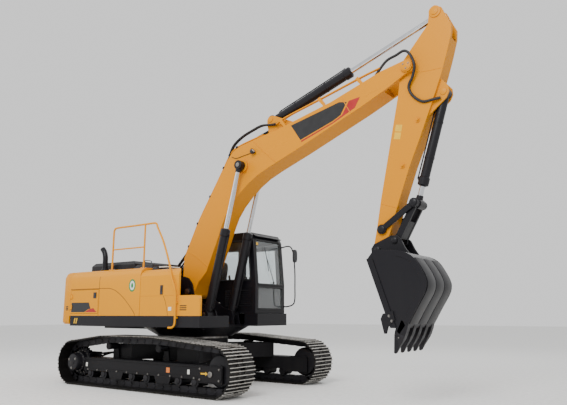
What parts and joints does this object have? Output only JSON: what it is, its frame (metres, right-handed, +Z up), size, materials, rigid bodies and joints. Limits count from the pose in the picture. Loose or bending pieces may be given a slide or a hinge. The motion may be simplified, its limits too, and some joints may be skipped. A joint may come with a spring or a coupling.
{
  "type": "crawler excavator",
  "caption": "Tracked hydraulic excavator: swinging upper body with cab and counterweight, bent boom, arm, linkage and toothed bucket.",
  "frame": {"origin": "centre of the bounding box in plan, on the ground under the tracks", "axes": "+X the way the machine faces, +Y to its left, +Z up"},
  "size_m": [8.0364, 2.98, 6.0281],
  "materials": {
    "painted_yellow": "semi-gloss orange-yellow paint",
    "painted_black": "satin charcoal paint",
    "bare_steel": "worn bare steel",
    "chrome_rod": "polished hard chrome",
    "cast_weight": "semi-gloss orange-yellow paint over cast iron",
    "engine_alloy": "matt grey",
    "clear_glass": "clear, faint blue-grey",
    "seat_cloth": "dark woven cloth"
  },
  "bodies": {
    "undercarriage": {"carbody": "painted_black", "slew_bearing": "bare_steel", "track_frame_right": "painted_black", "track_frame_left": "painted_black", "track_right": "bare_steel", "track_left": "bare_steel", "sprocket_right": "painted_black", "sprocket_left": "painted_black", "idler_right": "painted_black", "idler_left": "painted_black"},
    "upper": {"main_frame": "painted_black", "counterweight": "cast_weight", "engine": "engine_alloy", "engine_housing": "painted_yellow", "fuel_tank": "painted_yellow", "storage_box": "painted_yellow", "cab_shell": "painted_black", "operator_seat": "seat_cloth", "exhaust_pipe": "painted_black", "handrail": "painted_yellow", "mirror_guard": "painted_black", "windscreen_upper": "clear_glass", "windscreen_lower": "clear_glass", "window_right": "clear_glass", "window_left": "clear_glass", "window_rear": "clear_glass"},
    "cab_door": {"cab_door": "painted_black", "door_glass": "clear_glass"},
    "engine_hood": {"engine_hood": "painted_black"},
    "right_rear_door": {"right_rear_door": "painted_yellow"},
    "left_rear_door": {"left_rear_door": "painted_yellow"},
    "left_front_door": {"left_front_door": "painted_yellow"},
    "boom": {"boom": "painted_yellow"},
    "arm": {"arm": "painted_yellow"},
    "bucket": {"bucket": "painted_black"},
    "rocker": {"rocker_right": "painted_black", "rocker_left": "painted_black"},
    "bucket_link": {"bucket_link": "painted_black"},
    "boom_barrel_right": {"boom_cylinder_right_barrel": "painted_black"},
    "boom_barrel_left": {"boom_cylinder_left_barrel": "painted_black"},
    "boom_rod_right": {"boom_cylinder_right_rod": "chrome_rod"},
    "boom_rod_left": {"boom_cylinder_left_rod": "chrome_rod"},
    "arm_barrel": {"arm_cylinder_barrel": "painted_black"},
    "arm_rod": {"arm_cylinder_rod": "chrome_rod"},
    "bucket_barrel": {"bucket_cylinder_barrel": "painted_black"},
    "bucket_rod": {"bucket_cylinder_rod": "chrome_rod"}
  },
  "joints": [
    {"name": "swing", "type": "hinge", "parent": "undercarriage", "child": "upper", "pos_m": [-1.26823, 0, 0.95], "axis": [0, 0, 1], "continuous": true},
    {"name": "boom_lift", "type": "hinge", "parent": "upper", "child": "boom", "pos_m": [-1.26823, 0, 1.69], "axis": [0, -1, 0], "range_deg": [-80.8, 25]},
    {"name": "arm_crowd", "type": "hinge", "parent": "boom", "child": "arm", "pos_m": [3.29594, 0, 5.10443], "axis": [0, 1, 0], "range_deg": [-104, 14]},
    {"name": "bucket_curl", "type": "hinge", "parent": "arm", "child": "bucket", "pos_m": [2.69881, 0, 2.24614], "axis": [0, 1, 0], "range_deg": [-8, 150]},
    {"name": "cab_door_hinge", "type": "hinge", "parent": "upper", "child": "cab_door", "pos_m": [-1.27823, 1.4133, 1.34], "axis": [0, 0, 1], "range_deg": [0, 95]},
    {"name": "engine_hood_hinge", "type": "hinge", "parent": "upper", "child": "engine_hood", "pos_m": [-3.24823, 0, 2.09], "axis": [0, -1, 0], "range_deg": [0, 75]},
    {"name": "right_rear_door_hinge", "type": "hinge", "parent": "upper", "child": "right_rear_door", "pos_m": [-3.33323, -1.3583, 1.285], "axis": [0, 0, -1], "range_deg": [0, 95]},
    {"name": "left_rear_door_hinge", "type": "hinge", "parent": "upper", "child": "left_rear_door", "pos_m": [-3.33323, 1.3583, 1.285], "axis": [0, 0, 1], "range_deg": [0, 95]},
    {"name": "left_front_door_hinge", "type": "hinge", "parent": "upper", "child": "left_front_door", "pos_m": [-2.01823, 1.3583, 1.285], "axis": [0, 0, -1], "range_deg": [0, 95]},
    {"name": "boom_barrel_right_pivot", "type": "hinge", "parent": "upper", "child": "boom_barrel_right", "pos_m": [-0.67823, -0.33, 1.26], "axis": [0, -1, 0], "range_deg": [-86.4, 26.73]},
    {"name": "boom_rod_right_slide", "type": "slide", "parent": "boom_barrel_right", "child": "boom_rod_right", "axis": [0.2514, 0, 0.9679], "range_m": [-0.9671, 0.2992]},
    {"name": "boom_barrel_left_pivot", "type": "hinge", "parent": "upper", "child": "boom_barrel_left", "pos_m": [-0.67823, 0.33, 1.26], "axis": [0, -1, 0], "range_deg": [-86.4, 26.73]},
    {"name": "boom_rod_left_slide", "type": "slide", "parent": "boom_barrel_left", "child": "boom_rod_left", "axis": [0.2514, 0, 0.9679], "range_m": [-0.9671, 0.2992]},
    {"name": "arm_barrel_pivot", "type": "hinge", "parent": "boom", "child": "arm_barrel", "pos_m": [0.57155, 0, 4.78976], "axis": [0, 1, 0], "range_deg": [-6.92, 0.93]},
    {"name": "arm_rod_slide", "type": "slide", "parent": "arm_barrel", "child": "arm_rod", "axis": [0.9434, 0, 0.3315], "range_m": [-1.5276, 0.2056]},
    {"name": "bucket_barrel_pivot", "type": "hinge", "parent": "arm", "child": "bucket_barrel", "pos_m": [3.81921, 0, 4.60181], "axis": [0, 1, 0], "range_deg": [-7.42, 0.4]},
    {"name": "bucket_rod_slide", "type": "slide", "parent": "bucket_barrel", "child": "bucket_rod", "axis": [-0.2957, 0, -0.9553], "range_m": [-0.0513, 0.962]},
    {"name": "rocker_pivot", "type": "hinge", "parent": "arm", "child": "rocker", "pos_m": [2.76425, 0, 2.55938], "axis": [0, 1, 0], "range_deg": [-5.04, 94.44]},
    {"name": "bucket_link_pivot", "type": "hinge", "parent": "rocker", "child": "bucket_link", "pos_m": [3.30085, 0, 2.92742], "axis": [0, 1, 0], "range_deg": [-43.34, 2.31]}
  ],
  "couplings": [
    {"joint": "boom_barrel_right_pivot", "follows": "boom_lift", "ratio": 1.0483},
    {"joint": "boom_rod_right_slide", "follows": "boom_lift", "m_per_rad": 0.67231},
    {"joint": "boom_barrel_left_pivot", "follows": "boom_lift", "ratio": 1.0483},
    {"joint": "boom_rod_left_slide", "follows": "boom_lift", "m_per_rad": 0.67231},
    {"joint": "arm_barrel_pivot", "follows": "arm_crowd", "ratio": 0.0652},
    {"joint": "arm_rod_slide", "follows": "arm_crowd", "m_per_rad": 0.82511},
    {"joint": "bucket_barrel_pivot", "follows": "bucket_curl", "ratio": -0.04851},
    {"joint": "bucket_rod_slide", "follows": "bucket_curl", "m_per_rad": 0.36027},
    {"joint": "rocker_pivot", "follows": "bucket_curl", "ratio": 0.61723},
    {"joint": "bucket_link_pivot", "follows": "bucket_curl", "ratio": -0.28329}
  ]
}
